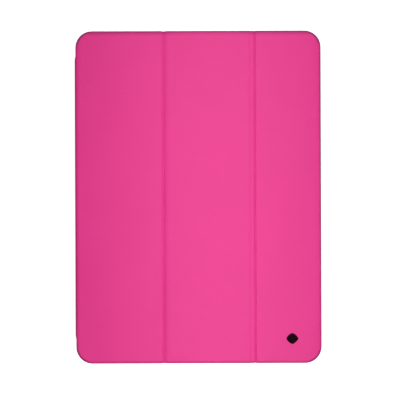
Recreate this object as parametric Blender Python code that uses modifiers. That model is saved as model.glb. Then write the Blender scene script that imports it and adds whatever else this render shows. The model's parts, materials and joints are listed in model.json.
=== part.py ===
"""Tri-fold tablet case: a moulded tray with a leather-covered back, joined by a spine
to a cover of three stiff panels that fold into a stand.

The case lies closed on its back, with +Z out of the front cover, +Y towards the top edge
and the spine at -X. The origin is the middle of the bottom of its bounding box. Metres.
"""

import math

import bmesh
import bpy
from mathutils import Matrix, Vector

MM = 0.001

# Overall size, closed
CASE_WIDTH = 187.4 * MM
CASE_HEIGHT = 253.0 * MM
CASE_THICKNESS = 13.8 * MM
CORNER_RADIUS = 12.5 * MM

# Sheet thicknesses of the laminated cover
LEATHER = 0.6 * MM
LINING = 0.4 * MM
BOARD = 0.9 * MM
FOLD_LEATHER = 0.45 * MM
PLY_GAP = 0.25 * MM

# Heights in the closed case, from the back up
BACK_SKIN_TOP = 0.7 * MM
TRAY_BOTTOM = 1.0 * MM
TRAY_FLOOR = 2.1 * MM
TRAY_LINING_BOTTOM = 2.4 * MM
TRAY_LINING_TOP = TRAY_LINING_BOTTOM + LINING
LIP_UNDERSIDE = 10.15 * MM
TRAY_TOP = 11.0 * MM
COVER_BOTTOM = 11.4 * MM
COVER_PLY = COVER_BOTTOM + LINING + PLY_GAP
SKIN_INSIDE = CASE_THICKNESS - LEATHER

# The tray, which holds a tablet of 248.6 x 179.5 x 7.0 mm
BAY_WIDTH = 180.1 * MM
BAY_HEIGHT = 249.2 * MM
BAY_RADIUS = 11.7 * MM
TRAY_WALL = 1.5 * MM
TRAY_EDGE_ROUND = 1.1 * MM
LIP_OVERHANG = 1.0 * MM
LINING_MARGIN = 0.5 * MM
TRAY_RIGHT = 93.0 * MM
TRAY_CENTRE_X = TRAY_RIGHT - TRAY_WALL - BAY_WIDTH / 2

# The cover panels and the grooves between them
COVER_LEFT = -92.9 * MM
COVER_RIGHT = CASE_WIDTH / 2
FOLD_1_LEFT = -27.3 * MM
FOLD_1_RIGHT = -24.7 * MM
FOLD_2_LEFT = 39.6 * MM
FOLD_2_RIGHT = 42.6 * MM
PANEL_CHAMFER = 1.2 * MM
POCKET_MARGIN = 2.0 * MM
BOARD_CLEARANCE = 0.3 * MM
FOLD_GAP = 0.3 * MM
HINGE_OFFSET = FOLD_GAP / 2
HINGE_LIFT = 0.05 * MM

# The spine, which is shorter than the cover
SPINE_OUTSIDE = -CASE_WIDTH / 2
SPINE_LENGTH = 218.0 * MM
SPINE_ROUND = 3.0 * MM
SPINE_BOARD = 0.8 * MM
SPINE_BOARD_INSET = 2.0 * MM
SPINE_BOARD_RAISE = 0.5 * MM
SPINE_BOARD_TOP_GAP = 0.4 * MM
SPINE_LINING_GAP = 0.35 * MM
SPINE_FOLD_DROP = 1.3 * MM
SPINE_END_GAP = 0.4 * MM
BACK_FOLD_LEATHER = (0, 0.5 * MM)
BACK_FOLD_LINING = (0.7 * MM, 1.0 * MM)
BACK_FOLD_END_GAPS = (0.35 * MM, 0.5 * MM)
COVER_HINGE_INSET = 0.5 * MM

# The back skin and the camera opening
BACK_SKIN_INSET = 2.2 * MM
CAMERA_INSET = 14.0 * MM
CAMERA_RADIUS = 9.3 * MM
CAMERA_COLLAR = 1.2 * MM
CAMERA_COLLAR_BOTTOM = 0.15 * MM
HOLE_CLEARANCE = 0.3 * MM

# Openings in the tray wall: lowest, highest and end radius
SLOT_BOTTOM = 3.9 * MM
SLOT_TOP = 9.1 * MM
SLOT_RADIUS = 1.6 * MM
SPEAKER_NEAR = 41.0 * MM
SPEAKER_FAR = 67.0 * MM
PORT_HALF = 8.5 * MM
POWER_SLOT = (60.0 * MM, 80.0 * MM)
TOP_SPEAKER_SLOT = (22.0 * MM, 48.0 * MM)
VOLUME_SLOT = (58.0 * MM, 92.0 * MM)

# Magnets in the boards
MAGNET_LENGTH = 12.0 * MM
MAGNET_WIDTH = 5.0 * MM
MAGNET_THICKNESS = 0.8 * MM
CLOSURE_MAGNET_X = 86.5 * MM
CLOSURE_MAGNETS_Y = {"top": 92.0 * MM, "middle": 6.0 * MM, "bottom": -92.0 * MM}
WAKE_MAGNET_Y = 46.0 * MM
STAND_MAGNET_X = -84.0 * MM
STAND_MAGNETS_Y = {"top": 92.0 * MM, "bottom": -92.0 * MM}

# The plain lozenge stamped on the last panel
MARK_CENTRE = (71.4 * MM, -107.7 * MM)
MARK_WIDTH = 9.6 * MM
MARK_HEIGHT = 8.6 * MM
MARK_ROUND = 0.5 * MM
MARK_RECESS = 0.35 * MM
MARK_THICKNESS = 0.2 * MM
MARK_CLEARANCE = 0.2 * MM

ARC_STEPS = 8
OVERCUT = 5.0 * MM

TOP = CASE_HEIGHT / 2
SPINE_HALF = SPINE_LENGTH / 2


def start_scene():
    """Empties the scene, and returns the collections for the parts and for their cutters."""
    for obj in list(bpy.data.objects):
        bpy.data.objects.remove(obj, do_unlink=True)
    made = []
    for name in ("tablet_case", "cutters"):
        collection = bpy.data.collections.new(name)
        bpy.context.scene.collection.children.link(collection)
        made.append(collection)
    return made


PARTS, CUTTERS = start_scene()


def material(name, colour, roughness, metallic=0.0):
    made = bpy.data.materials.new(name)
    made.use_nodes = True
    shader = made.node_tree.nodes["Principled BSDF"]
    shader.inputs["Base Color"].default_value = (*colour, 1.0)
    shader.inputs["Roughness"].default_value = roughness
    shader.inputs["Metallic"].default_value = metallic
    made.diffuse_color = (*colour, 1.0)
    return made


LEATHER_FINISH = material("pink_leather", (0.86, 0.075, 0.32), 0.55)
LINING_FINISH = material("rose_microfibre", (0.55, 0.09, 0.24), 0.95)
TRAY_FINISH = material("pink_moulding", (0.80, 0.07, 0.29), 0.45)
BOARD_FINISH = material("greyboard", (0.42, 0.40, 0.37), 0.9)
MAGNET_FINISH = material("nickel_plate", (0.62, 0.61, 0.58), 0.25, 1.0)
MARK_FINISH = material("black_foil", (0.012, 0.006, 0.009), 0.4)


def outline(corners, steps=ARC_STEPS):
    """The points of a closed outline, anticlockwise, from corners of (x, y, radius)."""
    points = []
    for index, (x, y, radius) in enumerate(corners):
        corner = Vector((x, y))
        if radius == 0:
            points.append(corner)
            continue
        before = Vector(corners[index - 1][:2])
        after = Vector(corners[(index + 1) % len(corners)][:2])
        come = (corner - before).normalized()
        leave = (after - corner).normalized()
        turn = math.atan2(come.cross(leave), come.dot(leave))
        start = corner - come * radius * math.tan(abs(turn) / 2)
        inward = Vector((-come.y, come.x)) * math.copysign(1, turn)
        centre = start + inward * radius
        for step in range(steps + 1):
            arm = (start - centre).copy()
            arm.rotate(Matrix.Rotation(turn * step / steps, 2))
            points.append(centre + arm)
    return points


def rectangle(left, right, bottom, top, radius=0.0):
    return [(left, bottom, radius), (right, bottom, radius), (right, top, radius), (left, top, radius)]


# How an outline's own x, y and thickness lie along the world's axes, by the axis it is extruded on
EXTRUDED_ON = {
    "Z": Matrix.Identity(4),
    "Y": Matrix(((1, 0, 0, 0), (0, 0, -1, 0), (0, 1, 0, 0), (0, 0, 0, 1))),
    "X": Matrix(((0, 0, 1, 0), (1, 0, 0, 0), (0, 1, 0, 0), (0, 0, 0, 1))),
}


def prism_mesh(name, points, low, high, axis="Z"):
    """The mesh of a filled 2D curve, extruded from low to high along an axis."""
    curve = bpy.data.curves.new(name, "CURVE")
    curve.dimensions = "2D"
    curve.fill_mode = "BOTH"
    curve.extrude = (high - low) / 2
    spline = curve.splines.new("POLY")
    spline.points.add(len(points) - 1)
    for point, place in zip(spline.points, points):
        point.co = (place.x, place.y, 0, 1)
    spline.use_cyclic_u = True
    guide = bpy.data.objects.new(name + "_outline", curve)
    CUTTERS.objects.link(guide)
    graph = bpy.context.evaluated_depsgraph_get()
    mesh = bpy.data.meshes.new_from_object(guide.evaluated_get(graph))
    bpy.data.objects.remove(guide, do_unlink=True)
    bpy.data.curves.remove(curve)

    middle = (low + high) / 2 * (-1 if axis == "Y" else 1)
    mesh.transform(EXTRUDED_ON[axis] @ Matrix.Translation((0, 0, middle)))
    shape = bmesh.new()
    shape.from_mesh(mesh)
    bmesh.ops.remove_doubles(shape, verts=shape.verts, dist=0.001 * MM)
    bmesh.ops.dissolve_limit(
        shape, angle_limit=math.radians(0.5), verts=shape.verts, edges=shape.edges
    )
    bmesh.ops.recalc_face_normals(shape, faces=shape.faces)
    shape.to_mesh(mesh)
    shape.free()
    mesh.name = name
    return mesh


def solid(name, points, low, high, finish, axis="Z"):
    """A part of even thickness with the outline given."""
    mesh = prism_mesh(name, points, low, high, axis)
    mesh.materials.append(finish)
    made = bpy.data.objects.new(name, mesh)
    PARTS.objects.link(made)
    return made


def cutter(name, points, low, high, axis="Z"):
    made = bpy.data.objects.new(name, prism_mesh(name, points, low, high, axis))
    CUTTERS.objects.link(made)
    made.hide_render = True
    made.display_type = "WIRE"
    return made


def combine(target, other, operation="DIFFERENCE"):
    """Cuts the other object away from the target, or joins it on."""
    boolean = target.modifiers.new(other.name, "BOOLEAN")
    boolean.operation = operation
    boolean.solver = "EXACT"
    boolean.object = other


def round_edges(target, width, segments, chosen):
    """Bevels the edges whose two ends the chosen test accepts."""
    mesh = target.data
    weights = mesh.attributes.new("bevel_weight_edge", "FLOAT", "EDGE")
    for edge in mesh.edges:
        ends = [mesh.vertices[index].co for index in edge.vertices]
        weights.data[edge.index].value = 1.0 if chosen(*ends) else 0.0
    bevel = target.modifiers.new("edge", "BEVEL")
    bevel.limit_method = "WEIGHT"
    bevel.width = width
    bevel.segments = segments
    bevel.use_clamp_overlap = True


def circle(x, y, radius, steps=40):
    turns = [2 * math.pi * step / steps for step in range(steps)]
    return [Vector((x + radius * math.cos(turn), y + radius * math.sin(turn))) for turn in turns]


# ---------------------------------------------------------------- joints


def pivot(name, x, z, parent=None):
    """An empty on a joint's axis, which runs along Y."""
    made = bpy.data.objects.new(name, None)
    made.empty_display_size = 10 * MM
    PARTS.objects.link(made)
    here = Vector((x, 0, z))
    made["place"] = here
    made.parent = parent
    made.location = here - Vector(parent["place"]) if parent else here
    return made


def hang(parts, joint):
    """Puts the parts' origins on the joint's axis, and makes them turn with it."""
    for part in parts:
        part.data.transform(Matrix.Translation(-Vector(joint["place"])))
        part.parent = joint


def make_pivots():
    """The fold lines, from the back round the spine to the last panel."""
    lining_side = COVER_BOTTOM - HINGE_LIFT
    leather_side = COVER_PLY + FOLD_LEATHER + HINGE_LIFT
    chain = (
        ("back_hinge", SPINE_OUTSIDE + SPINE_FOLD_DROP, 0),
        ("cover_hinge", SPINE_OUTSIDE + COVER_HINGE_INSET, CASE_THICKNESS - COVER_HINGE_INSET),
        ("fold_1_inner", FOLD_1_LEFT + HINGE_OFFSET, lining_side),
        ("fold_1_outer", FOLD_1_RIGHT - HINGE_OFFSET, leather_side),
        ("fold_2_inner", FOLD_2_LEFT + HINGE_OFFSET, lining_side),
        ("fold_2_outer", FOLD_2_RIGHT - HINGE_OFFSET, leather_side),
    )
    made, last = {}, None
    for name, x, z in chain:
        last = pivot(name, x, z, last)
        made[name] = last
    return made


# ---------------------------------------------------------------- tray and back


def tray_outline(grown):
    """The bay's outline, grown outwards by a distance."""
    half_width, half_height = BAY_WIDTH / 2 + grown, BAY_HEIGHT / 2 + grown
    left, right = TRAY_CENTRE_X - half_width, TRAY_CENTRE_X + half_width
    return outline(rectangle(left, right, -half_height, half_height, BAY_RADIUS + grown))


def wall_slots():
    """Cutters for the openings in the tray's walls."""
    across = {
        "bottom_speaker_left": (-SPEAKER_FAR, -SPEAKER_NEAR, -TOP),
        "bottom_speaker_right": (SPEAKER_NEAR, SPEAKER_FAR, -TOP),
        "charging_port": (-PORT_HALF, PORT_HALF, -TOP),
        "top_speaker_left": (-SPEAKER_FAR, -SPEAKER_NEAR, TOP),
        "top_speaker_right": (*TOP_SPEAKER_SLOT, TOP),
        "power_button": (*POWER_SLOT, TOP),
    }
    made = []
    for name, (left, right, wall) in across.items():
        left, right = left + TRAY_CENTRE_X, right + TRAY_CENTRE_X
        shape = outline(rectangle(left, right, SLOT_BOTTOM, SLOT_TOP, SLOT_RADIUS), 3)
        made.append(cutter(name + "_cut", shape, wall - OVERCUT, wall + OVERCUT, "Y"))
    shape = outline(rectangle(*VOLUME_SLOT, SLOT_BOTTOM, SLOT_TOP, SLOT_RADIUS), 3)
    made.append(cutter("volume_buttons_cut", shape, TRAY_RIGHT - OVERCUT, TRAY_RIGHT + OVERCUT, "X"))
    return made


def make_tray(camera):
    """The moulding that holds the tablet, with a lip all round its mouth."""
    tray = solid("tray_shell", tray_outline(TRAY_WALL), TRAY_BOTTOM, TRAY_TOP, TRAY_FINISH)
    round_edges(tray, TRAY_EDGE_ROUND, 3, lambda a, b: max(a.z, b.z) < TRAY_FLOOR)
    collar = cutter(
        "camera_collar",
        circle(*camera, CAMERA_RADIUS + CAMERA_COLLAR),
        CAMERA_COLLAR_BOTTOM,
        (TRAY_BOTTOM + TRAY_FLOOR) / 2,
    )
    combine(tray, collar, "UNION")
    combine(tray, cutter("bay_cut", tray_outline(0), TRAY_FLOOR, LIP_UNDERSIDE))
    mouth = tray_outline(-LIP_OVERHANG)
    combine(tray, cutter("mouth_cut", mouth, (TRAY_FLOOR + LIP_UNDERSIDE) / 2, TRAY_TOP + OVERCUT))
    combine(tray, cutter("camera_cut", circle(*camera, CAMERA_RADIUS), -OVERCUT, OVERCUT))
    for slot in wall_slots():
        combine(tray, slot)
    return tray


def make_back(camera):
    """The leather on the back, with a tongue that reaches the spine, and the bay's lining."""
    left = TRAY_CENTRE_X - BAY_WIDTH / 2 - TRAY_WALL + BACK_SKIN_INSET
    right = TRAY_RIGHT - BACK_SKIN_INSET
    high = BAY_HEIGHT / 2 + TRAY_WALL - BACK_SKIN_INSET
    radius = BAY_RADIUS + TRAY_WALL - BACK_SKIN_INSET
    tongue = SPINE_OUTSIDE + SPINE_FOLD_DROP + SPINE_END_GAP
    corners = [
        (left, -high, radius),
        (right, -high, radius),
        (right, high, radius),
        (left, high, radius),
        (left, SPINE_HALF, 0),
        (tongue, SPINE_HALF, 0),
        (tongue, -SPINE_HALF, 0),
        (left, -SPINE_HALF, 0),
    ]
    skin = solid("back_skin", outline(corners), 0, BACK_SKIN_TOP, LEATHER_FINISH)
    floor = tray_outline(-LINING_MARGIN)
    lining = solid("tray_lining", floor, TRAY_LINING_BOTTOM, TRAY_LINING_TOP, LINING_FINISH)
    for sheet, inside in ((skin, CAMERA_COLLAR), (lining, 0)):
        hole = circle(*camera, CAMERA_RADIUS + inside + HOLE_CLEARANCE)
        combine(sheet, cutter(sheet.name + "_hole", hole, -OVERCUT, OVERCUT))


# ---------------------------------------------------------------- spine


def make_back_fold(joint):
    """The short slanting stretch of laminate between the back and the spine."""
    low = Vector((SPINE_OUTSIDE + SPINE_FOLD_DROP, 0))
    high = Vector((SPINE_OUTSIDE, SPINE_FOLD_DROP))
    along = (high - low).normalized()
    inward = Vector((along.y, -along.x))
    plies = (
        ("back_fold_skin", BACK_FOLD_LEATHER, BACK_FOLD_END_GAPS[0], LEATHER_FINISH),
        ("back_fold_lining", BACK_FOLD_LINING, BACK_FOLD_END_GAPS[1], LINING_FINISH),
    )
    made = []
    for name, (outer, inner), gap, finish in plies:
        start, end = low + along * gap, high - along * gap
        points = [start + inward * inner, start + inward * outer, end + inward * outer, end + inward * inner]
        made.append(solid(name, points[::-1], -SPINE_HALF, SPINE_HALF, finish, "Y"))
    hang(made, joint)


def hooked(outside, bottom, top, ply, radius):
    """The section of a sheet that runs up the spine and turns over towards the cover."""
    inside, end = outside + ply, outside + radius
    corners = [
        (outside, bottom, 0),
        (inside, bottom, 0),
        (inside, top - ply, radius - ply),
        (end, top - ply, 0),
        (end, top, 0),
        (outside, top, radius),
    ]
    return outline(corners)


def make_spine(joint):
    bottom = SPINE_FOLD_DROP + SPINE_END_GAP
    skin_section = hooked(SPINE_OUTSIDE, bottom, CASE_THICKNESS, LEATHER, SPINE_ROUND)
    skin = solid("spine_skin", skin_section, -SPINE_HALF, SPINE_HALF, LEATHER_FINISH, "Y")

    board_left = SPINE_OUTSIDE + LEATHER + PLY_GAP
    board_bottom = bottom + SPINE_BOARD_RAISE
    board_top = CASE_THICKNESS - SPINE_ROUND - SPINE_BOARD_TOP_GAP
    board_half = SPINE_HALF - SPINE_BOARD_INSET
    board_section = outline(rectangle(board_left, board_left + SPINE_BOARD, board_bottom, board_top))
    board = solid("spine_board", board_section, -board_half, board_half, BOARD_FINISH, "Y")

    lining_left = board_left + SPINE_BOARD + SPINE_LINING_GAP
    lining_round = SPINE_OUTSIDE + SPINE_ROUND - lining_left
    lining_section = hooked(lining_left, board_bottom, COVER_BOTTOM + LINING, LINING, lining_round)
    lining = solid("spine_lining", lining_section, -SPINE_HALF, SPINE_HALF, LINING_FINISH, "Y")
    hang((skin, board, lining), joint)


# ---------------------------------------------------------------- cover


def panel_corners(left, right, left_inset, right_inset, edge_inset, notched=False):
    """A panel's outline. Only the cover's own corners are round; the spine needs a notch."""
    high = TOP - edge_inset
    left_radius = CORNER_RADIUS - edge_inset if left == COVER_LEFT else 0
    right_radius = CORNER_RADIUS - edge_inset if right == COVER_RIGHT else 0
    corners = [
        (left + left_inset, -high, left_radius),
        (right - right_inset, -high, right_radius),
        (right - right_inset, high, right_radius),
        (left + left_inset, high, left_radius),
    ]
    if notched:
        half = SPINE_HALF + FOLD_GAP
        notch = SPINE_OUTSIDE + SPINE_ROUND + FOLD_GAP
        corners += [(left, half, 0), (notch, half, 0), (notch, -half, 0), (left, -half, 0)]
    return corners


def on_notch(a, b):
    """Whether an edge belongs to the notch that the spine's skin turns over into."""
    limit = SPINE_HALF + 2 * FOLD_GAP
    return max(a.x, b.x) < SPINE_OUTSIDE + 2 * SPINE_ROUND and max(abs(a.y), abs(b.y)) < limit


def make_panel(number, left, right, magnets, joint):
    """A skin pressed over a board, with a thin rim round it, and a flat lining below."""
    first = left == COVER_LEFT
    whole = outline(panel_corners(left, right, 0, 0, 0, notched=first))
    name = f"panel_{number}"
    skin = solid(name + "_skin", whole, COVER_PLY, CASE_THICKNESS, LEATHER_FINISH)

    def on_top_rim(a, b):
        return min(a.z, b.z) > SKIN_INSIDE and not (first and on_notch(a, b))

    round_edges(skin, PANEL_CHAMFER, 1, on_top_rim)

    # the board's left margin on the first panel is counted from the notch
    notch_depth = SPINE_OUTSIDE + SPINE_ROUND + FOLD_GAP - COVER_LEFT if first else 0
    board_plan = []
    for margin in (POCKET_MARGIN, POCKET_MARGIN + BOARD_CLEARANCE):
        corners = panel_corners(left, right, notch_depth + margin, margin, margin)
        board_plan.append(outline(corners))
    pocket, board_outline = board_plan
    combine(skin, cutter(name + "_pocket", pocket, COVER_PLY - OVERCUT, SKIN_INSIDE))
    board = solid(name + "_board", board_outline, COVER_PLY, COVER_PLY + BOARD, BOARD_FINISH)
    lining = solid(name + "_lining", whole, COVER_BOTTOM, COVER_BOTTOM + LINING, LINING_FINISH)

    pieces = [skin, board, lining]
    for magnet_name, x, y, width, length in magnets:
        bed, body = [
            outline(rectangle(x - half_x, x + half_x, y - half_y, y + half_y))
            for half_x, half_y in (
                (width / 2 + BOARD_CLEARANCE, length / 2 + BOARD_CLEARANCE),
                (width / 2, length / 2),
            )
        ]
        combine(board, cutter(magnet_name + "_bed", bed, COVER_PLY - OVERCUT, COVER_PLY + OVERCUT))
        bottom = COVER_PLY + (BOARD - MAGNET_THICKNESS) / 2
        pieces.append(solid(magnet_name, body, bottom, bottom + MAGNET_THICKNESS, MAGNET_FINISH))
    hang(pieces, joint)
    return skin


def make_fold(number, left, right, joint):
    """The flexible strip between two panels, where leather and lining are bonded."""
    left, right = left + FOLD_GAP, right - FOLD_GAP
    strip = outline(rectangle(left, right, -TOP, TOP))
    leather_top = COVER_PLY + FOLD_LEATHER
    skin = solid(f"fold_{number}_skin", strip, COVER_PLY, leather_top, LEATHER_FINISH)
    lining = solid(f"fold_{number}_lining", strip, COVER_BOTTOM, COVER_BOTTOM + LINING, LINING_FINISH)
    hang((skin, lining), joint)


def lozenge(width, height, radius):
    x, y = MARK_CENTRE
    corners = [(x - width / 2, y), (x, y - height / 2), (x + width / 2, y), (x, y + height / 2)]
    return outline([(*corner, radius) for corner in corners], 4)


def make_mark(skin, joint):
    """A plain lozenge, sunk into the last panel's leather."""
    spare = 2 * MARK_CLEARANCE
    floor = CASE_THICKNESS - MARK_RECESS
    recess = lozenge(MARK_WIDTH + spare, MARK_HEIGHT + spare, MARK_ROUND)
    combine(skin, cutter("mark_recess", recess, floor, CASE_THICKNESS + OVERCUT))
    bottom = CASE_THICKNESS - MARK_THICKNESS
    shape = lozenge(MARK_WIDTH, MARK_HEIGHT, MARK_ROUND)
    hang([solid("lozenge_mark", shape, bottom, CASE_THICKNESS, MARK_FINISH)], joint)


def main():
    joints = make_pivots()
    camera = (TRAY_CENTRE_X + BAY_WIDTH / 2 - CAMERA_INSET, BAY_HEIGHT / 2 - CAMERA_INSET)
    make_tray(camera)
    make_back(camera)
    make_back_fold(joints["back_hinge"])
    make_spine(joints["back_hinge"])

    size = (MAGNET_WIDTH, MAGNET_LENGTH)
    stand = [(f"stand_magnet_{end}", STAND_MAGNET_X, y, *size) for end, y in STAND_MAGNETS_Y.items()]
    closure = [
        (f"closure_magnet_{end}", CLOSURE_MAGNET_X, y, *size) for end, y in CLOSURE_MAGNETS_Y.items()
    ]
    wake = ("sleep_wake_magnet", CLOSURE_MAGNET_X, WAKE_MAGNET_Y, MAGNET_WIDTH, MAGNET_WIDTH)
    make_panel(1, COVER_LEFT, FOLD_1_LEFT, stand, joints["cover_hinge"])
    make_fold(1, FOLD_1_LEFT, FOLD_1_RIGHT, joints["fold_1_inner"])
    make_panel(2, FOLD_1_RIGHT, FOLD_2_LEFT, [], joints["fold_1_outer"])
    make_fold(2, FOLD_2_LEFT, FOLD_2_RIGHT, joints["fold_2_inner"])
    last = make_panel(3, FOLD_2_RIGHT, COVER_RIGHT, [*closure, wake], joints["fold_2_outer"])
    make_mark(last, joints["fold_2_outer"])


main()
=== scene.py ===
"""Looks of the tri-fold tablet case: one laminated cover in coated leather, a spine that
wraps round to the back, a brushed lining inside and a moulded tray.

Helpers work in millimetres in the frame of the CAD; objects are made in metres.
"""

import json
import math

import bmesh
import bpy
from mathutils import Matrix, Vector, noise


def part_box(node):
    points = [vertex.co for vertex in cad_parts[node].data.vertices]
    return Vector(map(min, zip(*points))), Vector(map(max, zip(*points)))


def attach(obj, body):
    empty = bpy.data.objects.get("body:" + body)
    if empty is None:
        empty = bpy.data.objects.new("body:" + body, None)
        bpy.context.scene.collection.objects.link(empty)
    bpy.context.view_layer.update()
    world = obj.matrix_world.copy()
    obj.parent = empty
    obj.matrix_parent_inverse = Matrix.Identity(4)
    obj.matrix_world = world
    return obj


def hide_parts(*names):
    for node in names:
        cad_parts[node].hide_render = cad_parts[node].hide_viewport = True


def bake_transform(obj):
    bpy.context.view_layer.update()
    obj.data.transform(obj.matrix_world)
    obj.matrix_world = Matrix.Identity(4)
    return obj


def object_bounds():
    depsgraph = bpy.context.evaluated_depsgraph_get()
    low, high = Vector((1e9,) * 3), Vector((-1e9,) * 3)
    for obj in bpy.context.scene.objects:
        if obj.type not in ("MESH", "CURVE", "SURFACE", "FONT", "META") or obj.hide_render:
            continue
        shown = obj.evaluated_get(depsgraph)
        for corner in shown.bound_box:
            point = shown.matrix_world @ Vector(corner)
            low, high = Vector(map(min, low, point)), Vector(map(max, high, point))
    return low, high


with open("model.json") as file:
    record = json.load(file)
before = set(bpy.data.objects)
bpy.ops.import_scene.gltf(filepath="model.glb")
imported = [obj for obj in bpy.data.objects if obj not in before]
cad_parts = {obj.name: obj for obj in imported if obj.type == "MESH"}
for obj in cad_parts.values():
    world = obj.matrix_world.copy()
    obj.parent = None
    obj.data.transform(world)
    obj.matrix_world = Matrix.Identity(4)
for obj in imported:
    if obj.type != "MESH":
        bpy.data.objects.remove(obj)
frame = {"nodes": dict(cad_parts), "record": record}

CAD_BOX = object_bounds()
MM = 0.001


def node_box(name):
    """A node's lowest and highest corner in millimetres."""
    low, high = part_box(name)
    return [v / MM for v in low], [v / MM for v in high]


CASE_LOW, CASE_HIGH = ([v / MM for v in corner] for corner in CAD_BOX)
FACE = CASE_HIGH[2]
PANEL_LEFT = node_box("panel_1_skin")[0][0]
RIGHT = CASE_HIGH[0]
TOP = CASE_HIGH[1]
CORNER = 12.5
LINING_FACE = node_box("panel_2_lining")[0][2]
SPINE_OUT = CASE_LOW[0]
SPINE_HALF = node_box("spine_skin")[1][1]
FOLD_1 = (node_box("fold_1_skin")[0][0], node_box("fold_1_skin")[1][0])
FOLD_2 = (node_box("fold_2_skin")[0][0], node_box("fold_2_skin")[1][0])
BACK_LOW, BACK_HIGH = node_box("back_skin")
BACK_LEFT = -87.9
BACK_CORNER = 11.0
LENS_PLACE = (77.5, 110.6)
LENS_HOLE = 10.8

# The cover's sheet is cut away here, where the spine's leather takes over.
NOTCH_X = -90.4
NOTCH_Y = SPINE_HALF + 0.3


# ---------------------------------------------------------------- node helpers

RANGE_SOCKETS = ("From Min", "From Max", "To Min", "To Max")


def hold_range(node, low, high, out_low, out_high):
    """Sets the two ranges of a map range node."""
    for key, value in zip(RANGE_SOCKETS, (low, high, out_low, out_high)):
        node.inputs[key].default_value = value


class Nodes:
    """Short hand for building one material."""

    def __init__(self, name, base, roughness):
        self.material = bpy.data.materials.new(name)
        self.material.use_nodes = True
        self.tree = self.material.node_tree
        self.shader = self.tree.nodes["Principled BSDF"]
        self.shader.inputs["Base Color"].default_value = (*base, 1)
        self.shader.inputs["Roughness"].default_value = roughness
        self.place = self.add("ShaderNodeTexCoord").outputs["Object"]

    def add(self, kind, **settings):
        node = self.tree.nodes.new(kind)
        for key, value in settings.items():
            setattr(node, key, value)
        return node

    def link(self, source, target):
        self.tree.links.new(source, target)

    def set(self, **values):
        """Constants on the shader's sockets, with _ for each space in a socket's name."""
        for key, value in values.items():
            self.shader.inputs[key.replace("_", " ")].default_value = value

    def scaled(self, sizes):
        """The place, with one pattern cell to each size in millimetres."""
        node = self.add("ShaderNodeMapping")
        node.inputs["Scale"].default_value = [1 / (size * MM) for size in sizes]
        self.link(self.place, node.inputs["Vector"])
        return node.outputs["Vector"]

    def noise(self, size, detail=2.0, roughness=0.5, distortion=0.0):
        sizes = size if isinstance(size, tuple) else (size,) * 3
        node = self.add("ShaderNodeTexNoise")
        node.inputs["Scale"].default_value = 1.0
        node.inputs["Detail"].default_value = detail
        node.inputs["Roughness"].default_value = roughness
        node.inputs["Distortion"].default_value = distortion
        self.link(self.scaled(sizes), node.inputs["Vector"])
        return node.outputs["Fac"]

    def cells(self, sizes):
        node = self.add("ShaderNodeTexVoronoi", feature="SMOOTH_F1")
        node.inputs["Scale"].default_value = 1.0
        self.link(self.scaled(sizes), node.inputs["Vector"])
        return node.outputs["Distance"]

    def ramp(self, source, low, high, out_low=0.0, out_high=1.0):
        """A value taken from one range to another, and held at both ends."""
        node = self.add("ShaderNodeMapRange")
        hold_range(node, low, high, out_low, out_high)
        self.link(source, node.inputs["Value"])
        return node.outputs["Result"]

    def math(self, operation, a, b):
        node = self.add("ShaderNodeMath", operation=operation)
        for socket, value in zip(node.inputs, (a, b)):
            if isinstance(value, (int, float)):
                socket.default_value = value
            else:
                self.link(value, socket)
        return node.outputs[0]

    def mix(self, factor, a, b):
        node = self.add("ShaderNodeMix", data_type="RGBA")
        for socket, value in zip((node.inputs[0], node.inputs[6], node.inputs[7]), (factor, a, b)):
            if isinstance(value, tuple):
                socket.default_value = (*value, 1)
            elif isinstance(value, (int, float)):
                socket.default_value = value
            else:
                self.link(value, socket)
        return node.outputs[2]

    def bump(self, *heights):
        """Bumps laid one over another: for each its height, its depth in millimetres and its strength."""
        last = None
        for height, depth, strength in heights:
            node = self.add("ShaderNodeBump")
            node.inputs["Strength"].default_value = strength
            node.inputs["Distance"].default_value = depth * MM
            self.link(height, node.inputs["Height"])
            if last:
                self.link(last, node.inputs["Normal"])
            last = node.outputs["Normal"]
        self.link(last, self.shader.inputs["Normal"])

    def colour(self, source):
        self.link(source, self.shader.inputs["Base Color"])

    def roughness(self, source):
        self.link(source, self.shader.inputs["Roughness"])


# ---------------------------------------------------------------- materials

PINK = (0.80, 0.034, 0.26)
# The dark pink below is painted shade, mixed in along edges and in the grooves, where shade falls.
PAINTED_SHADE_PINK = (0.17, 0.012, 0.075)


def leather_material():
    m = Nodes("coated_leather", PINK, 0.5)
    broad = m.noise(38, 3, 0.55)
    fine = m.noise(1.6, 3, 0.6)
    grain = m.cells((0.55, 0.48, 0.5))
    pores = m.noise(0.22, 2, 0.5)
    tint = m.mix(m.ramp(broad, 0.3, 0.7), (0.785, 0.031, 0.25), (0.815, 0.037, 0.268))
    tint = m.mix(m.ramp(fine, 0.35, 0.75, 0, 0.35), tint, (0.76, 0.028, 0.24))
    # Painted shade: each mesh's shade attribute pulls the colour towards the dark pink.
    edge = m.add("ShaderNodeAttribute", attribute_name="painted_shade").outputs["Fac"]
    tint = m.mix(m.ramp(edge, 0, 1, 0, 0.9), tint, PAINTED_SHADE_PINK)
    m.colour(tint)
    rough = m.ramp(broad, 0.3, 0.7, 0.49, 0.54)
    m.roughness(m.math("ADD", rough, m.ramp(fine, 0.3, 0.7, -0.02, 0.03)))
    m.bump((grain, 0.03, 0.25), (pores, 0.012, 0.25), (broad, 0.05, 0.2))
    m.set(IOR=1.38)
    return m.material


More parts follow.
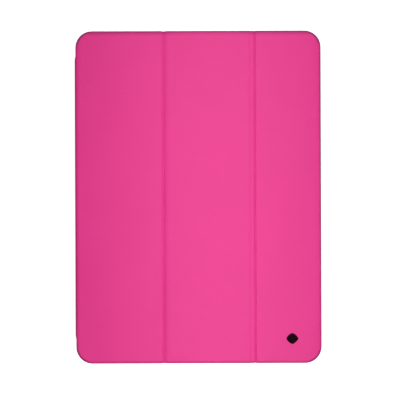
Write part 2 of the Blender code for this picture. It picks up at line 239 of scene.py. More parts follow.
def lining_material():
    m = Nodes("brushed_microfibre", (0.55, 0.09, 0.24), 0.92)
    nap = m.noise((0.5, 2.6, 0.6), 4, 0.65)
    broad = m.noise(26, 3, 0.6, 0.6)
    fibres = m.noise((0.09, 0.5, 0.12), 3, 0.7)
    tint = m.mix(m.ramp(broad, 0.25, 0.75), (0.51, 0.078, 0.22), (0.59, 0.102, 0.262))
    tint = m.mix(m.ramp(nap, 0.3, 0.7, 0, 0.45), tint, (0.43, 0.06, 0.185))
    m.colour(tint)
    m.bump((nap, 0.08, 0.35), (fibres, 0.05, 0.4))
    m.set(Sheen_Weight=0.45, Sheen_Roughness=0.5, Sheen_Tint=(0.95, 0.55, 0.72, 1))
    m.set(Specular_IOR_Level=0.2)
    return m.material


def moulding_material():
    m = Nodes("matte_moulding", (0.74, 0.036, 0.23), 0.5)
    broad = m.noise(30, 2, 0.5)
    spark = m.noise(0.18, 2, 0.6)
    tint = m.mix(m.ramp(broad, 0.3, 0.7), (0.72, 0.034, 0.222), (0.76, 0.039, 0.24))
    m.colour(tint)
    m.roughness(m.ramp(m.noise(5, 3, 0.6), 0.3, 0.7, 0.42, 0.52))
    m.bump((spark, 0.012, 0.3))
    m.set(Subsurface_Weight=0.05, Subsurface_Radius=(0.002, 0.0006, 0.001))
    return m.material


def board_material():
    m = Nodes("greyboard", (0.42, 0.4, 0.37), 0.9)
    fibre = m.noise((0.4, 1.2, 0.3), 4, 0.7)
    m.colour(m.mix(m.ramp(fibre, 0.3, 0.7), (0.37, 0.35, 0.32), (0.47, 0.45, 0.42)))
    m.bump((fibre, 0.05, 0.4))
    return m.material


def magnet_material():
    m = Nodes("nickel_plate", (0.62, 0.61, 0.58), 0.28)
    m.set(Metallic=1.0)
    scuff = m.noise((0.3, 3.0, 0.3), 3, 0.6)
    m.roughness(m.ramp(scuff, 0.3, 0.7, 0.22, 0.36))
    m.bump((scuff, 0.01, 0.2))
    return m.material


def foil_material():
    m = Nodes("black_foil", (0.012, 0.002, 0.004), 0.5)
    dust = m.noise(0.6, 3, 0.6)
    m.colour(m.mix(m.ramp(dust, 0.3, 0.75), (0.010, 0.002, 0.004), (0.022, 0.004, 0.009)))
    m.roughness(m.ramp(dust, 0.3, 0.7, 0.5, 0.62))
    m.set(Specular_IOR_Level=0.0)
    m.bump((m.noise(0.35, 2, 0.5), 0.02, 0.3))
    return m.material


FINISHES = {
    "leather": leather_material(),
    "lining": lining_material(),
    "moulding": moulding_material(),
    "board": board_material(),
    "magnet": magnet_material(),
    "mark": foil_material(),
}


# ---------------------------------------------------------------- mesh helpers


def ease(t):
    """From 0 to 1, level at both ends."""
    t = min(max(t, 0.0), 1.0)
    return t * t * (3 - 2 * t)


def rounded(x0, x1, y0, y1, radius, steps=22):
    """A rounded rectangle, anticlockwise: each point with its inward direction."""
    corners = ((x1, y0, -90), (x1, y1, 0), (x0, y1, 90), (x0, y0, 180))
    points = []
    for x, y, start in corners:
        centre_x = x - radius if x == x1 else x + radius
        centre_y = y - radius if y == y1 else y + radius
        for i in range(steps + 1):
            angle = math.radians(start + 90 * i / steps)
            c, s = math.cos(angle), math.sin(angle)
            points.append((centre_x + radius * c, centre_y + radius * s, -c, -s))
    return points


def ring(bm, points, inset, z):
    """Corners along an outline, moved inwards and set at a height."""
    return [bm.verts.new((x + inset * nx, y + inset * ny, z)) for x, y, nx, ny in points]


def bridge(bm, first, second, flip=False):
    """Faces between two closed rings."""
    count = len(first)
    for i in range(count):
        j = (i + 1) % count
        corners = (first[i], first[j], second[j], second[i])
        bm.faces.new(corners[::-1] if flip else corners)


def plate(points, profile, flip=False, close=True):
    """A sheet seen from above: rings from its outline inwards, at (inset, z) each, and a flat middle."""
    bm = bmesh.new()
    rings = [ring(bm, points, inset, z) for inset, z in profile]
    for first, second in zip(rings, rings[1:]):
        bridge(bm, first, second, flip)
    if close:
        bm.faces.new(rings[-1][::-1] if flip else rings[-1])
    return bm


def cut(bm, axis, places):
    """Cuts the faces across one axis at each place, with nothing taken away."""
    normal = [0, 0, 0]
    normal[axis] = 1
    for place in places:
        spot = [0, 0, 0]
        spot[axis] = place
        geometry = bm.verts[:] + bm.edges[:] + bm.faces[:]
        bmesh.ops.bisect_plane(bm, geom=geometry, plane_co=spot, plane_no=normal, dist=1e-5)


def cut_grid(bm, across, along):
    """Cuts at places along x and along y, each of them once."""
    for axis, places in enumerate((across, along)):
        cut(bm, axis, sorted(set(round(place, 4) for place in places)))


def between(bm, low, high):
    """The part of a mesh between two values of x."""
    part = bm.copy()
    for place, side in ((low, -1), (high, 1)):
        if place is None:
            continue
        geometry = part.verts[:] + part.edges[:] + part.faces[:]
        bmesh.ops.bisect_plane(
            part, geom=geometry, plane_co=(place, 0, 0), plane_no=(side, 0, 0), dist=1e-5, clear_outer=True
        )
    return part


def span(low, high, step):
    """Places from one value to another, evenly and about a step apart."""
    count = max(1, round((high - low) / step))
    return [low + (high - low) * i / count for i in range(count + 1)]


def link_to_scene(made):
    """Puts an object in the scene."""
    bpy.context.scene.collection.objects.link(made)


def make(name, bm, slot, painted_shade=None):
    """An object in metres from a mesh in millimetres, smooth, with its finish and, where given, its
    painted shade.
    """
    mesh = bpy.data.meshes.new(name)
    if painted_shade:
        layer = bm.verts.layers.float.new("painted_shade")
        for v in bm.verts:
            v[layer] = painted_shade(v.co)
    for v in bm.verts:
        v.co *= MM
    for face in bm.faces:
        face.smooth = True
    bm.to_mesh(mesh)
    bm.free()
    mesh.materials.append(FINISHES[slot])
    made = bpy.data.objects.new(name, mesh)
    link_to_scene(made)
    return made


# ---------------------------------------------------------------- cover, outside

# The leather's dip across each fold, as (x, depth). The steeper side belongs to the outer panels.
FOLD_1_LINE = (
    (-28.1, 0),
    (-27.6, 0.05),
    (-26.9, 0.48),
    (-26.3, 0.76),
    (-25.8, 0.72),
    (-24.8, 0.36),
    (-23.0, 0.09),
    (-21.8, 0),
)
FOLD_2_LINE = (
    (38.6, 0),
    (39.2, 0.04),
    (40.1, 0.2),
    (40.7, 0.23),
    (42.3, 0.24),
    (42.9, 0.44),
    (43.4, 0.7),
    (43.85, 0.54),
    (44.35, 0.07),
    (44.9, 0),
)

# Each fold's sheet is cut at these places, into two halves between two panels.
SEAMS_1 = (-34.0, -26.0, -18.0)
SEAMS_2 = (33.0, 41.1, 50.0)

# The cover's edge, as (inset, z): the leather's hem under the board, then up to the foot of the rim.
# From there it rounds over to the face, across the rim's width, and rings on the face follow.
RIM = 2.1
RIM_FOOT = 12.35
HEM = ((5.0, 11.66), (2.2, 11.62), (0.9, 11.62), (0.4, 11.72), (0.12, 11.98), (0.0, RIM_FOOT))
FACE_RINGS = (2.6, 3.1, 3.8, 4.6, 5.6, 6.6, 8.0, 10.0, 12.3)

# How low the sheet is turned down along the notch.
TUCK = 11.7

# What lies above this height sinks with the face, in full from SINK_WIDTH above SINK_FROM.
UPPER_PART = 12.3
SINK_FROM, SINK_WIDTH = 12.2, 1.2

# At the top and bottom edge a groove also draws the edge in, by this share of its depth.
GROOVE_END, GROOVE_END_WIDTH = 0.35, 2.2

# How far the face sinks near each edge, and over what width.
END_DROP, END_WIDTH = 0.06, 3.4
FREE_DROP, FREE_WIDTH = 0.22, 6.4
SPINE_DROP, SPINE_WIDTH = 0.16, 4.0

# The foil mark is a lozenge with round corners, pressed a little into the leather.
MARK_LOW, MARK_HIGH = node_box("lozenge_mark")
MARK_MIDDLE = ((MARK_LOW[0] + MARK_HIGH[0]) / 2, (MARK_LOW[1] + MARK_HIGH[1]) / 2)
MARK_HALF = ((MARK_HIGH[0] - MARK_LOW[0]) / 2, (MARK_HIGH[1] - MARK_LOW[1]) / 2)
MARK_POWER = 1.45
MARK_PRESS = 0.14
MARK_SLOPE_FROM, MARK_SLOPE = 0.1, 0.6
MARK_MARGIN = 1.2

# The unevenness of the face: its depth, and the lengths of its long and short waves.
RIPPLE = 0.05
LONG_WAVE, SHORT_WAVE = 55, 21

# Painted shade: darkest in a line along the edge, wider at the corners. Inside the line is a softer
# painted shade, as (strength, distance from the edge, width of its fading), stronger away from the middle.
# More painted shade lies in the grooves, where they are deeper than SHADED_DEPTH.
LINE_WIDTH, CORNER_LINE = 1.0, 1.5
TOP_SHADE = (0.22, 1.8, 2.2)
BOTTOM_SHADE = (0.2, 1.2, 1.6)
SIDE_SHADE = 0.16
MIDDLE_X, MIDDLE_WIDTH = 8.5, 18
GROOVE_SHADE, SHADED_DEPTH = 0.2, 0.24

# The hem gets less of the painted shade than the face, from HEM_SHADE at its lowest to all of it at the
# rim's foot.
HEM_SHADE, HEM_Z, HEM_RISE = 0.3, 11.6, 0.7


def groove(x):
    """How far the leather dips at the two folds: a smooth curve through each fold's points."""
    for line in (FOLD_1_LINE, FOLD_2_LINE):
        if line[0][0] < x < line[-1][0]:
            i = max(k for k in range(len(line) - 1) if line[k][0] <= x)
            (x0, d0), (x1, d1) = line[i], line[i + 1]
            before, after = line[max(i - 1, 0)], line[min(i + 2, len(line) - 1)]
            start = (d1 - before[1]) / (x1 - before[0]) * (x1 - x0)
            end = (after[1] - d0) / (after[0] - x0) * (x1 - x0)
            t = (x - x0) / (x1 - x0)
            smooth = t * t * (3 - 2 * t)
            return d0 + (d1 - d0) * smooth + start * t * (1 - t) ** 2 - end * t * t * (1 - t)
    return 0.0


def fall(distance, width):
    """From 1 at an edge to 0 at a width from it."""
    t = 1 - distance / width
    return t * t if t > 0 else 0.0


def lozenge(x, y):
    """Distance outside the mark in millimetres, about right near its edge."""
    a = abs(x - MARK_MIDDLE[0]) / MARK_HALF[0]
    b = abs(y - MARK_MIDDLE[1]) / MARK_HALF[1]
    reach = (a**MARK_POWER + b**MARK_POWER) ** (1 / MARK_POWER)
    return (reach - 1) * min(MARK_HALF)


def mark_depth(x, y):
    """The leather gives way round the mark."""
    return MARK_PRESS * (1 - ease((lozenge(x, y) - MARK_SLOPE_FROM) / MARK_SLOPE))


def ripple(x, y):
    """The faint unevenness of leather glued over board, in long waves and shorter ones."""
    long_wave = noise.noise(Vector((x / LONG_WAVE, y / LONG_WAVE, 3.1)))
    short_wave = noise.noise(Vector((x / SHORT_WAVE, y / SHORT_WAVE, 7.7)))
    return RIPPLE * (long_wave + 0.5 * short_wave)


def cover_top(x, y):
    """How far the outer face lies under the flat, at a point."""
    down = groove(x)
    down += END_DROP * fall(TOP - abs(y), END_WIDTH)
    down += FREE_DROP * fall(RIGHT - x, FREE_WIDTH)
    down += SPINE_DROP * fall(x - PANEL_LEFT, SPINE_WIDTH) * ease((abs(y) - NOTCH_Y) / SPINE_WIDTH)
    return down + mark_depth(x, y) + ripple(x, y)


def cover_painted_shade(co):
    """Painted shade: darker along the edges, over the top and bottom edges, and in the grooves' depths,
    where shade falls.
    """
    level = TOP - abs(co.y)
    inset = min(level, RIGHT - co.x, co.x - PANEL_LEFT)
    corner_x = max(abs(co.x - (RIGHT + PANEL_LEFT) / 2) - ((RIGHT - PANEL_LEFT) / 2 - CORNER), 0)
    corner_y = max(abs(co.y) - (TOP - CORNER), 0)
    if corner_x > 0 and corner_y > 0:
        inset = CORNER - math.hypot(corner_x, corner_y)
    width = LINE_WIDTH + CORNER_LINE * ease(3 * min(corner_x, corner_y) / CORNER)
    line = 1 - ease(max(inset, 0) / width)
    strength, start, fading = TOP_SHADE if co.y > 0 else BOTTOM_SHADE
    if co.y > 0:
        strength += SIDE_SHADE * ease(abs(co.x - MIDDLE_X) / MIDDLE_WIDTH - 1)
    shade = strength * (1 - ease((level - start) / fading))
    low_part = HEM_SHADE + (1 - HEM_SHADE) * ease((co.z - HEM_Z) / HEM_RISE)
    return low_part * max(0.0, line, shade, GROOVE_SHADE * (groove(co.x) - SHADED_DEPTH))


def cover_profile():
    """Rings from the hem, round the edge and on to the face."""
    profile = list(HEM)
    for step in range(1, 10):
        angle = math.radians(10 * step)
        profile.append((RIM * (1 - math.cos(angle)), RIM_FOOT + (FACE - RIM_FOOT) * math.sin(angle)))
    return profile + [(inset, FACE) for inset in FACE_RINGS]


def cut_cover(bm):
    """Cuts the cover's faces, finely at the grooves and the mark and where the notch will be."""
    across = span(NOTCH_X, SEAMS_1[0], 9) + span(SEAMS_1[2], SEAMS_2[0], 8.5) + span(SEAMS_2[2], 93, 7)
    across += span(-29, -22, 0.2) + span(38, 44.8, 0.2)
    across += [-90, -89, -32, -31, -20.5, -19.5, 35, 36.5, 47, 48.5]
    across += span(MARK_LOW[0] - MARK_MARGIN, MARK_HIGH[0] + MARK_MARGIN, 0.4)
    along = span(-120, -100, 10) + span(-100, 120, 10)
    along += span(MARK_LOW[1] - MARK_MARGIN, MARK_HIGH[1] + MARK_MARGIN, 0.4)
    along += [side * (NOTCH_Y + d) for side in (-1, 1) for d in (0, 1, 2, 4)]
    cut_grid(bm, across + list(SEAMS_1 + SEAMS_2), along)


def open_notch(bm):
    """Takes the faces of the notch away."""
    inside = []
    for face in bm.faces:
        centre = face.calc_center_median()
        if centre.x < NOTCH_X and abs(centre.y) < NOTCH_Y:
            inside.append(face)
    bmesh.ops.delete(bm, geom=inside, context="FACES")


def press_cover(bm):
    """Presses grooves, edges and mark into the face."""
    for v in bm.verts:
        if v.co.z > UPPER_PART:
            share = ease((v.co.z - SINK_FROM) / SINK_WIDTH)
            v.co.z -= share * cover_top(v.co.x, v.co.y)
        if abs(v.co.y) > TOP - GROOVE_END_WIDTH:
            v.co.y -= math.copysign(GROOVE_END * groove(v.co.x), v.co.y)


def wall_notch(bm):
    """Turns the face down along the notch, so that no edge of it is open to the side."""
    edges = []
    for edge in bm.edges:
        if not edge.is_boundary:
            continue
        middle = (edge.verts[0].co + edge.verts[1].co) / 2
        if middle.x < NOTCH_X + 0.01 and abs(middle.y) < NOTCH_Y + 0.01 and middle.z > SINK_FROM:
            edges.append(edge)
    made = bmesh.ops.extrude_edge_only(bm, edges=edges)
    for v in [g for g in made["geom"] if isinstance(g, bmesh.types.BMVert)]:
        v.co.z = TUCK


def cover_sheet():
    """The leather over the cover, in one piece."""
    bm = plate(rounded(PANEL_LEFT, RIGHT, -TOP, TOP, CORNER), cover_profile())
    cut_cover(bm)
    open_notch(bm)
    press_cover(bm)
    wall_notch(bm)
    return bm


def add(name, bm, slot, body, replaces=(), blend=None, painted_shade=None):
    """One piece on its body or, given a blend, with its place baked in and on no body."""
    made = make(name, bm, slot, painted_shade)
    if blend:
        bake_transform(made)
    else:
        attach(made, body)
    if replaces:
        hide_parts(*replaces)
    return made


# Each half of a fold: its two bodies, where it starts and ends its bend, and its range of x.
BENDS = {
    "fold_1_near": ("panel_1", "fold_1", (-28.5, 12), (-26.2, 12), SEAMS_1[0], SEAMS_1[1]),
    "fold_1_far": ("fold_1", "panel_2", (-25.8, 12), (-23.4, 12), SEAMS_1[1], SEAMS_1[2]),
    "fold_2_near": ("panel_2", "fold_2", (38.4, 12), (40.9, 12), SEAMS_2[0], SEAMS_2[1]),
    "fold_2_far": ("fold_2", "panel_3", (41.3, 12), (43.8, 12), SEAMS_2[1], SEAMS_2[2]),
}


def lay(sheet, prefix, slot, layer, left=None, painted_shade=None):
    """Parts a sheet into three panels and the halves of the folds between them."""
    panels = ((left, SEAMS_1[0]), (SEAMS_1[2], SEAMS_2[0]), (SEAMS_2[2], None))
    for number, (low, high) in enumerate(panels, 1):
        body = f"panel_{number}"
        add(f"{prefix}_{number}", between(sheet, low, high), slot, body, [f"{body}_{layer}"], painted_shade=painted_shade)
    for key, (near, far, start, end, low, high) in BENDS.items():
        replaced = [f"{far}_{layer}"] if key.endswith("near") else []
        blend = (far, start, end)
        add(f"{prefix}_{key}", between(sheet, low, high), slot, near, replaced, blend, painted_shade)
    sheet.free()


lay(cover_sheet(), "cover_outer", "leather", "skin", painted_shade=cover_painted_shade)


# ---------------------------------------------------------------- cover, lining

# The lining ends this far inside the leather, and at the left where the spine's lining takes over.
LINING_INSET = 2.2
LINING_LEFT = -89.6
LINING_RINGS = ((0.0, 11.75), (0.0, 11.55), (0.12, 11.44), (0.4, 11.405), (0.9, LINING_FACE))
LINING_EDGE = 11.6
FOLD_PRESS, FOLD_PRESS_WIDTH = 0.32, 0.9
NAP_DEPTH = 0.03


def lining_dip(x):
    """The lining is pressed in along both folds."""
    depth = 0.0
    for low, high in (FOLD_1, FOLD_2):
        middle = (low + high) / 2
        depth += FOLD_PRESS * math.exp(-(((x - middle) / FOLD_PRESS_WIDTH) ** 2))
    return depth


def lining_sheet():
    """The lining of the cover, in one piece and seen from below."""
    top = TOP - LINING_INSET
    outline = rounded(PANEL_LEFT + 1.9, RIGHT - LINING_INSET, -top, top, CORNER - LINING_INSET)
    profile = list(LINING_RINGS) + [(inset, LINING_FACE) for inset in (2.0, 4.0, 7.0, 10.1)]
    bm = plate(outline, profile, flip=True)
    across = span(-88, SEAMS_1[0], 9) + span(SEAMS_1[2], SEAMS_2[0], 8.5) + span(SEAMS_2[2], 88, 7.6)
    across += span(-30, -22, 0.35) + span(37.4, 45, 0.35) + [-32, -20, 35, 36.5, 47]
    cut_grid(bm, across + list(SEAMS_1 + SEAMS_2), span(-115, 115, 10))
    for v in bm.verts:
        if v.co.z < LINING_EDGE:
            nap = NAP_DEPTH * noise.noise(Vector((v.co.x / 18, v.co.y / 26, 1.7)))
            v.co.z += lining_dip(v.co.x) + nap + NAP_DEPTH
    return bm


lay(lining_sheet(), "cover_inner", "lining", "lining", left=LINING_LEFT)


# ---------------------------------------------------------------- spine


def curve_through(points, steps=5):
    """A smooth line through points, by Catmull and Rom."""
    line = []
    padded = [points[0], *points, points[-1]]
    for i in range(1, len(padded) - 2):
        p0, p1, p2, p3 = (Vector(p) for p in padded[i - 1 : i + 3])
        square = 2 * p0 - 5 * p1 + 4 * p2 - p3
        cube = 3 * p1 - p0 - 3 * p2 + p3
        for k in range(steps):
            t = k / steps
            line.append(0.5 * (2 * p1 + (p2 - p0) * t + square * t**2 + cube * t**3))
    line.append(Vector(points[-1]))
    return line


def in_three(line, high, low):
    """A line that comes down, parted at two heights. Neighbours share a point."""
    upper = next(i for i, p in enumerate(line) if p.y <= high)
    lower = next(i for i, p in enumerate(line) if p.y <= low)
    return line[: upper + 1], line[upper : lower + 1], line[lower:]


# One end of a strip's cross-section, as (distance from the end, share of the thickness).
STRIP_END = (
    (5.0, 1.0),
    (0.6, 1.0),
    (0.2, 0.88),
    (0.0, 0.6),
    (0.0, 0.2),
    (0.01, 0.05),
    (0.07, 0.0),
    (0.5, 0.0),
    (1.2, 0.0),
    (2.2, 0.0),
    (3.4, 0.0),
    (4.8, 0.0),
)


def band(line, thickness, half, flip=False):
    """A strip along a line in the XZ plane, with ends rounded over its thickness and turned in.

    The line is the outer face, and the thickness lies on its left hand.
    """
    bm = bmesh.new()
    section = [(half - inset, thickness * share) for inset, share in STRIP_END]
    middle = [(y, 0.0) for y in reversed(span(-half + 8, half - 8, 9))]
    full = section + middle + [(-y, d) for y, d in reversed(section)]
    rows = []
    for i, spot in enumerate(line):
        a, b = line[max(i - 1, 0)], line[min(i + 1, len(line) - 1)]
        along = (b - a).normalized()
        inward = Vector((-along.y, along.x))
        rows.append([bm.verts.new((spot.x + inward.x * d, y, spot.y + inward.y * d)) for y, d in full])
    for first, second in zip(rows, rows[1:]):
        for i in range(len(full) - 1):
            corners = (first[i], first[i + 1], second[i + 1], second[i])
            bm.faces.new(corners[::-1] if flip else corners)
    return bm


WRAP_HALF = SPINE_HALF + 0.24
WRAP_SPLITS = (8.7, 4.4)
WRAP_THICK, WRAP_BACK_THICK = 1.5, 1.1
DRAW_IN = 4.2
# Painted shade on the wrap: its strength over the upper bend and at the ends, and its width at the ends.
WRAP_BEND_SHADE, WRAP_END_SHADE = 0.5, 0.45
WRAP_END_WIDTH = 0.9
INNER_HALF = SPINE_HALF - 1.6
INNER_SPLITS = (8.0, 4.0)
INNER_THICK = -0.5


def settle(bm):
    """The wrap follows the cover's unevenness where they meet, and draws in at both ends."""
    for v in bm.verts:
        near = ease((v.co.x + 92.5) / 1.5) if v.co.z > 12 else 0.0
        v.co.z -= near * ripple(v.co.x, v.co.y)
        end = ease((abs(v.co.y) - SPINE_HALF + DRAW_IN) / DRAW_IN)
        v.co.x += end * max(PANEL_LEFT + 0.05 - v.co.x, 0)
    return bm


def spine_painted_shade(co):
    """Painted shade on the wrap, darker over its upper bend and at its two ends."""
    bend = ease((-92.4 - co.x) / 0.8) * ease((co.z - 9.6) / 2.0)
    end = ease((abs(co.y) - SPINE_HALF + WRAP_END_WIDTH) / WRAP_END_WIDTH) * ease((12.6 - co.z) / 1.5)
    return max(WRAP_BEND_SHADE * bend, WRAP_END_SHADE * end)


def wrap_line():
    """The leather's outer face, from its tuck under the cover, down the spine and under the back."""
    flush = FACE + 0.02
    points = [(-88.6, FACE - 0.05), (-89.0, flush - 0.01), (-89.6, flush), (-90.3, flush)]
    points += [(-91.0, flush - 0.05), (-91.7, 13.64), (-92.4, 13.25), (-93.0, 12.6), (-93.4, 11.75)]
    points += [(-93.62, 10.8), (-93.69, 9.7)]
    points += [(SPINE_OUT, z) for z in (8.6, 7.2, 5.8, 4.4)]
    points += [(-93.68, 3.2), (-93.55, 2.2), (-93.2, 1.2), (-92.6, 0.5), (-91.8, 0.12), (-90.8, 0.0)]
    points += [(-89.8, 0.0), (-88.9, 0.02), (-88.3, 0.16), (-87.9, 0.42), (-87.4, 0.55)]
    return curve_through(points)


def inner_line():
    """The lining's outer face, from the cover's lining down to the tray."""
    points = [(-88.6, 11.75), (-89.4, 11.5), (-90.2, 11.32), (-90.9, 10.9), (-91.25, 10.2)]
    points += [(-91.35, z) for z in (9.2, 8.0, 6.6, 5.2, 4.0)]
    points += [(-91.3, 3.0), (-91.15, 2.1), (-90.8, 1.35), (-90.2, 0.95), (-89.4, 0.85)]
    return curve_through(points)


upper, middle, lower = in_three(wrap_line(), *WRAP_SPLITS)
skin = settle(band(upper, WRAP_THICK, WRAP_HALF))
blend = ("panel_1", (-93.6, 10.2), (-90.6, 13.2))
add("spine_wrap_cover", skin, "leather", "spine", blend=blend, painted_shade=spine_painted_shade)
skin = settle(band(middle, WRAP_THICK, WRAP_HALF))
add("spine_wrap", skin, "leather", "spine", ["spine_skin"], painted_shade=spine_painted_shade)
skin = settle(band(lower, WRAP_BACK_THICK, WRAP_HALF))
blend = ("spine", (-91.4, 0.4), (-93.6, 2.8))
add("spine_wrap_back", skin, "leather", "root", ["back_fold_skin"], blend, spine_painted_shade)

parts = in_three(inner_line(), *INNER_SPLITS)
upper, middle, lower = [band(part, INNER_THICK, INNER_HALF, flip=True) for part in parts]
blend = ("panel_1", (-91.35, 8.6), (-89.6, 11.5))
add("spine_lining_cover", upper, "lining", "spine", blend=blend)
add("spine_lining_middle", middle, "lining", "spine", ["spine_lining"])
blend = ("spine", (-90.6, 1.0), (-91.35, 3.6))
add("spine_lining_back", lower, "lining", "root", ["back_fold_lining"], blend)


# ---------------------------------------------------------------- back


def circle(centre, radius, count=72):
    """A round hole's edge: each point with its direction away from the hole."""
    points = []
    for i in range(count):
        angle = 2 * math.pi * i / count
        c, s = math.cos(angle), math.sin(angle)
        points.append((centre[0] + radius * c, centre[1] + radius * s, c, s))
    return points


def fill_between(bm, outer, inner, facing):
    """One flat between two rings, that faces up for 1 and down for -1."""
    edges = []
    for loop in (outer, inner):
        for i in range(len(loop)):
            edges.append(bm.edges.get((loop[i], loop[(i + 1) % len(loop)])))
    made = bmesh.ops.triangle_fill(
        bm, use_beauty=True, use_dissolve=False, edges=edges, normal=(0, 0, facing)
    )
    for face in [g for g in made["geom"] if isinstance(g, bmesh.types.BMFace)]:
        face.normal_update()
        if face.normal.z * facing < 0:
            face.normal_flip()


def pierced(points, profile, hole, hole_profile, flip):
    """A plate with a round hole: rings from the outline in and from the hole out, and one flat between."""
    bm = plate(points, profile, flip, close=False)
    bm.verts.ensure_lookup_table()
    outer = list(bm.verts)[-len(points) :]
    rings = [ring(bm, hole, inset, z) for inset, z in hole_profile]
    for first, second in zip(rings, rings[1:]):
        bridge(bm, first, second, not flip)
    fill_between(bm, outer, rings[-1], -1 if flip else 1)
    cut_grid(bm, span(-80, 80, 10), span(-110, 110, 10))
    return bm


def back_painted_shade(co):
    """Painted shade on the back's leather, darker in a line along its edge."""
    inset = min(co.x - BACK_LEFT, BACK_HIGH[0] - co.x, BACK_HIGH[1] - abs(co.y))
    return max(0.0, 1 - max(inset, 0) / LINE_WIDTH)


# The edges of the back's leather and of the tray's lining, each rounded over its thickness.
BACK_EDGE = [(0.0, 0.5), (0.1, 0.24), (0.35, 0.07), (0.8, 0.0), (1.1, 0.0)]
BAY_LOW, BAY_HIGH = node_box("tray_lining")
BAY_TOP = BAY_HIGH[2]
BAY_EDGE = [(0.0, 2.2), (0.0, 2.6), (0.1, 2.74), (0.3, BAY_TOP)]
BAY_CORNER = 11.2
BAY_HOLE = 9.6

outline = rounded(BACK_LEFT, BACK_HIGH[0], BACK_LOW[1], BACK_HIGH[1], BACK_CORNER)
profile = [(0.3, 0.85), (0.0, 0.72), *BACK_EDGE]
hole = circle(LENS_PLACE, LENS_HOLE)
skin = pierced(outline, profile, hole, [(0.0, 0.85), *BACK_EDGE], flip=True)
add("back_wrap", skin, "leather", "root", ["back_skin"], painted_shade=back_painted_shade)

outline = rounded(BAY_LOW[0], BAY_HIGH[0], BAY_LOW[1], BAY_HIGH[1], BAY_CORNER)
profile = [*BAY_EDGE, (1.5, BAY_TOP)]
hole = circle(LENS_PLACE, BAY_HOLE)
bay = pierced(outline, profile, hole, [*BAY_EDGE, (1.2, BAY_TOP)], flip=False)
add("bay_lining", bay, "lining", "root", ["tray_lining"])


# ---------------------------------------------------------------- mark

FOIL_TOP = FACE - MARK_PRESS + 0.06
FOIL_CORNERS = 96

# Rings of the foil, as (share of its outline, height from its top).
FOIL_RINGS = ((1.0, -0.12), (1.0, -0.04), (0.985, -0.01), (0.95, 0.0), (0.8, 0.005))


def foil_ring(bm, share, z):
    """A lozenge with round corners, a share of the mark's size."""
    loop = []
    for i in range(FOIL_CORNERS):
        angle = 2 * math.pi * i / FOIL_CORNERS
        c, s = math.cos(angle), math.sin(angle)
        reach = share * (abs(c) ** MARK_POWER + abs(s) ** MARK_POWER) ** (-1 / MARK_POWER)
        x = MARK_MIDDLE[0] + reach * c * MARK_HALF[0]
        y = MARK_MIDDLE[1] + reach * s * MARK_HALF[1]
        loop.append(bm.verts.new((x, y, z)))
    return loop


def foil():
    """The plain black mark, domed a little."""
    bm = bmesh.new()
    rings = [foil_ring(bm, share, FOIL_TOP + rise) for share, rise in FOIL_RINGS]
    for first, second in zip(rings, rings[1:]):
        bridge(bm, first, second)
    bm.faces.new(rings[-1])
    return bm


add("foil_mark", foil(), "mark", "panel_3", ["lozenge_mark"])


# ---------------------------------------------------------------- carried-over parts

for name, node in frame["nodes"].items():
    slot = next(s["material_slot"] for s in frame["record"]["subparts"] if s["node"] == name)
    for holder in node.material_slots:
        holder.link = "OBJECT"
        holder.material = FINISHES[slot]


# ---------------------------------------------------------------- stage, light and camera

# Places and sizes are in metres from here on, the lens and its sensor in millimetres.
FLOOR_HALF, FLOOR_STEP = 3, 0.5
FLOOR_Z = -0.0004
FLOOR_GLOW = 0.82
SOFTBOX_X, SOFTBOX_Y = 0.02, -0.02
LENS_MM, SENSOR_MM = 100, 36
CAMERA_X, CAMERA_Y = 0.00155, -0.0022
CAMERA_ABOVE_FACE = 0.8444
CAMERA_ROLL_DEGREES = -0.2


def floor():
    """A pale floor that glows, so that it is nearly white round the case."""
    bm = bmesh.new()
    places = span(-FLOOR_HALF, FLOOR_HALF, FLOOR_STEP)
    rows = [[bm.verts.new((x, y, FLOOR_Z)) for x in places] for y in places]
    for a, b in zip(rows, rows[1:]):
        for i in range(len(a) - 1):
            bm.faces.new((a[i], a[i + 1], b[i + 1], b[i]))
    mesh = bpy.data.meshes.new("floor")
    bm.to_mesh(mesh)
    bm.free()
    m = Nodes("pale_floor", (0.93, 0.93, 0.93), 0.9)
    m.set(Emission_Color=(1, 1, 1, 1), Emission_Strength=FLOOR_GLOW)
    mesh.materials.append(m.material)
    made = bpy.data.objects.new("floor", mesh)
    made.visible_diffuse = False
    made.visible_glossy = False
    link_to_scene(made)


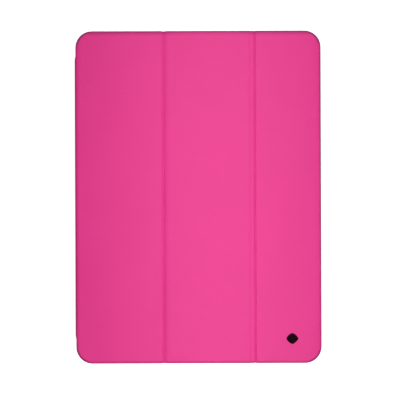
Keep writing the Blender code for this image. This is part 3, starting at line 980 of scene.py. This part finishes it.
def area(name, place, target, size, power, colour=(1, 1, 1)):
    """A rectangular light that looks at a target, and isn't seen itself."""
    light = bpy.data.lights.new(name, "AREA")
    light.color = colour
    light.shape = "RECTANGLE"
    light.size, light.size_y = size
    light.energy = power
    made = bpy.data.objects.new(name, light)
    made.location = place
    made.rotation_euler = (Vector(target) - Vector(place)).to_track_quat("-Z", "Y").to_euler()
    made.visible_camera = False
    link_to_scene(made)


def studio():
    """A warm light all round, brightest at the level of the floor and weak overhead."""
    world = bpy.data.worlds.new("studio")
    world.use_nodes = True
    nodes, links = world.node_tree.nodes, world.node_tree.links
    light_round = nodes["Background"]
    light_round.inputs["Color"].default_value = (1, 0.93, 0.8, 1)
    direction = nodes.new("ShaderNodeTexCoord")
    height = nodes.new("ShaderNodeSeparateXYZ")
    links.new(direction.outputs["Generated"], height.inputs[0])
    upward = nodes.new("ShaderNodeMath")
    upward.operation = "ABSOLUTE"
    links.new(height.outputs["Z"], upward.inputs[0])
    fade = nodes.new("ShaderNodeMapRange")
    fade.interpolation_type = "SMOOTHSTEP"
    hold_range(fade, 0.0, 0.9, 0.5, 0.06)
    links.new(upward.outputs[0], fade.inputs["Value"])
    links.new(fade.outputs["Result"], light_round.inputs["Strength"])
    bpy.context.scene.world = world


def camera():
    """Looks straight down on the cover, turned a little with the case."""
    lens = bpy.data.cameras.new("camera")
    lens.lens = LENS_MM
    lens.sensor_width = SENSOR_MM
    made = bpy.data.objects.new("camera", lens)
    made.location = (CAMERA_X, CAMERA_Y, FACE * MM + CAMERA_ABOVE_FACE)
    made.rotation_euler = (0, 0, math.radians(CAMERA_ROLL_DEGREES))
    link_to_scene(made)
    bpy.context.scene.camera = made


floor()
area("softbox", (SOFTBOX_X, SOFTBOX_Y, 0.25), (SOFTBOX_X, SOFTBOX_Y, 0), (0.18, 0.6), 0.935, (1, 1, 1.05))
area("low_front", (0.45, -1.3, 0.7), (0, 0, 0), (0.8, 0.8), 2.2)
studio()
camera()
bpy.context.scene.view_settings.view_transform = "Standard"
